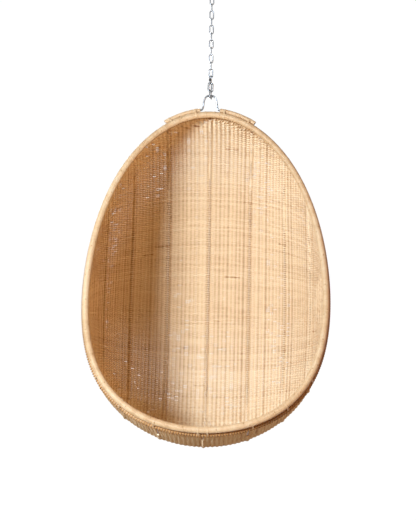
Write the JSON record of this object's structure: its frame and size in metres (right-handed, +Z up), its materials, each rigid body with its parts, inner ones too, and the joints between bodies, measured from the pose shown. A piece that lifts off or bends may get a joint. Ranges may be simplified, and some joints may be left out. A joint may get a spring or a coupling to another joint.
{
  "type": "hanging egg chair",
  "caption": "Egg-shaped hanging chair of woven rattan, open in front, on a bent steel bail and a short chain with a snap hook and round ceiling plate.",
  "frame": {"origin": "centre of the ceiling plate's top face, where the chair is held up", "axes": "+Z up, the open front of the egg faces -Y, +X to the right seen from the front"},
  "size_m": [0.8092, 0.7999, 1.6469],
  "materials": {
    "ceiling_steel": "brushed zinc plated steel",
    "hook_steel": "polished zinc plated steel",
    "chain_steel": "zinc plated steel, slightly dulled",
    "quick_link_steel": "dull zinc plated steel",
    "bail_steel": "bright drawn steel rod, lightly worn",
    "rattan_pole": "natural rattan pole, clear lacquer",
    "rattan_peel": "natural rattan peel, satin",
    "rattan_weave": "woven natural rattan core and peel"
  },
  "bodies": {
    "ceiling_fitting": {"ceiling_plate": "ceiling_steel", "ceiling_eye": "ceiling_steel"},
    "snap_hook": {"snap_hook_body": "hook_steel", "snap_hook_pin": "hook_steel"},
    "hook_gate": {"snap_hook_gate": "hook_steel"},
    "link_01": {"chain_link_01": "chain_steel"},
    "link_02": {"chain_link_02": "chain_steel"},
    "link_03": {"chain_link_03": "chain_steel"},
    "link_04": {"chain_link_04": "chain_steel"},
    "link_05": {"chain_link_05": "chain_steel"},
    "link_06": {"chain_link_06": "chain_steel"},
    "link_07": {"chain_link_07": "chain_steel"},
    "link_08": {"chain_link_08": "chain_steel"},
    "link_09": {"chain_link_09": "chain_steel"},
    "link_10": {"chain_link_10": "chain_steel"},
    "link_11": {"chain_link_11": "chain_steel"},
    "sling": {"sling_link_back_1": "chain_steel", "sling_link_back_2": "chain_steel", "sling_link_back_3": "chain_steel", "sling_link_bottom": "chain_steel", "sling_link_front_2": "chain_steel", "sling_link_front_3": "chain_steel", "quick_link": "quick_link_steel"},
    "closing_nut": {"quick_link_nut": "quick_link_steel"},
    "egg": {"back_hoop": "rattan_pole", "bail": "bail_steel", "cap_lashings": "rattan_peel", "cap_pole_left": "rattan_pole", "cap_pole_right": "rattan_pole", "hoop_ties": "rattan_peel", "rib_centre": "rattan_pole", "rib_left_1": "rattan_pole", "rib_left_2": "rattan_pole", "rib_left_3": "rattan_pole", "rib_right_1": "rattan_pole", "rib_right_2": "rattan_pole", "rib_right_3": "rattan_pole", "rim_pole": "rattan_pole", "rim_wrap": "rattan_peel", "woven_panel_left_1": "rattan_weave", "woven_panel_left_2": "rattan_weave", "woven_panel_left_3": "rattan_weave", "woven_panel_left_side": "rattan_weave", "woven_panel_right_1": "rattan_weave", "woven_panel_right_2": "rattan_weave", "woven_panel_right_3": "rattan_weave", "woven_panel_right_side": "rattan_weave"}
  },
  "joints": [
    {"name": "hook_swing", "type": "hinge", "parent": "ceiling_fitting", "child": "snap_hook", "pos_m": [0, 0, -0.0576], "axis": [1, 0, 0], "range_deg": [-12, 12]},
    {"name": "gate_swing", "type": "hinge", "parent": "snap_hook", "child": "hook_gate", "pos_m": [0, 0.01, -0.0895], "axis": [1, 0, 0], "range_deg": [0, 26], "stiffness_Nm_per_rad": 0.05, "springref_deg": -11.46},
    {"name": "link_01_swing", "type": "hinge", "parent": "snap_hook", "child": "link_01", "pos_m": [0, 0, -0.1083], "axis": [0, 1, 0], "range_deg": [-8, 8]},
    {"name": "link_02_swing", "type": "hinge", "parent": "link_01", "child": "link_02", "pos_m": [0, 0, -0.13275], "axis": [1, 0, 0], "range_deg": [-8, 8]},
    {"name": "link_03_swing", "type": "hinge", "parent": "link_02", "child": "link_03", "pos_m": [0, 0, -0.15825], "axis": [0, 1, 0], "range_deg": [-8, 8]},
    {"name": "link_04_swing", "type": "hinge", "parent": "link_03", "child": "link_04", "pos_m": [0, 0, -0.18375], "axis": [1, 0, 0], "range_deg": [-8, 8]},
    {"name": "link_05_swing", "type": "hinge", "parent": "link_04", "child": "link_05", "pos_m": [0, 0, -0.20925], "axis": [0, 1, 0], "range_deg": [-8, 8]},
    {"name": "link_06_swing", "type": "hinge", "parent": "link_05", "child": "link_06", "pos_m": [0, 0, -0.23475], "axis": [1, 0, 0], "range_deg": [-8, 8]},
    {"name": "link_07_swing", "type": "hinge", "parent": "link_06", "child": "link_07", "pos_m": [0, 0, -0.26025], "axis": [0, 1, 0], "range_deg": [-8, 8]},
    {"name": "link_08_swing", "type": "hinge", "parent": "link_07", "child": "link_08", "pos_m": [0, 0, -0.28575], "axis": [1, 0, 0], "range_deg": [-8, 8]},
    {"name": "link_09_swing", "type": "hinge", "parent": "link_08", "child": "link_09", "pos_m": [0, 0, -0.31125], "axis": [0, 1, 0], "range_deg": [-8, 8]},
    {"name": "link_10_swing", "type": "hinge", "parent": "link_09", "child": "link_10", "pos_m": [0, 0, -0.33675], "axis": [1, 0, 0], "range_deg": [-8, 8]},
    {"name": "link_11_swing", "type": "hinge", "parent": "link_10", "child": "link_11", "pos_m": [0, 0, -0.36225], "axis": [0, 1, 0], "range_deg": [-8, 8]},
    {"name": "sling_swing", "type": "hinge", "parent": "link_11", "child": "sling", "pos_m": [0, 0, -0.3815], "axis": [1, 0, 0], "range_deg": [-8, 8]},
    {"name": "closing_nut_turn", "type": "hinge", "parent": "sling", "child": "closing_nut", "pos_m": [-0.00245, -0.00913, -0.39674], "axis": [0, -0.1941, -0.981], "continuous": true},
    {"name": "egg_rock", "type": "hinge", "parent": "sling", "child": "egg", "pos_m": [0, 0, -0.4513], "axis": [1, 0, 0], "range_deg": [-12, 12]}
  ]
}
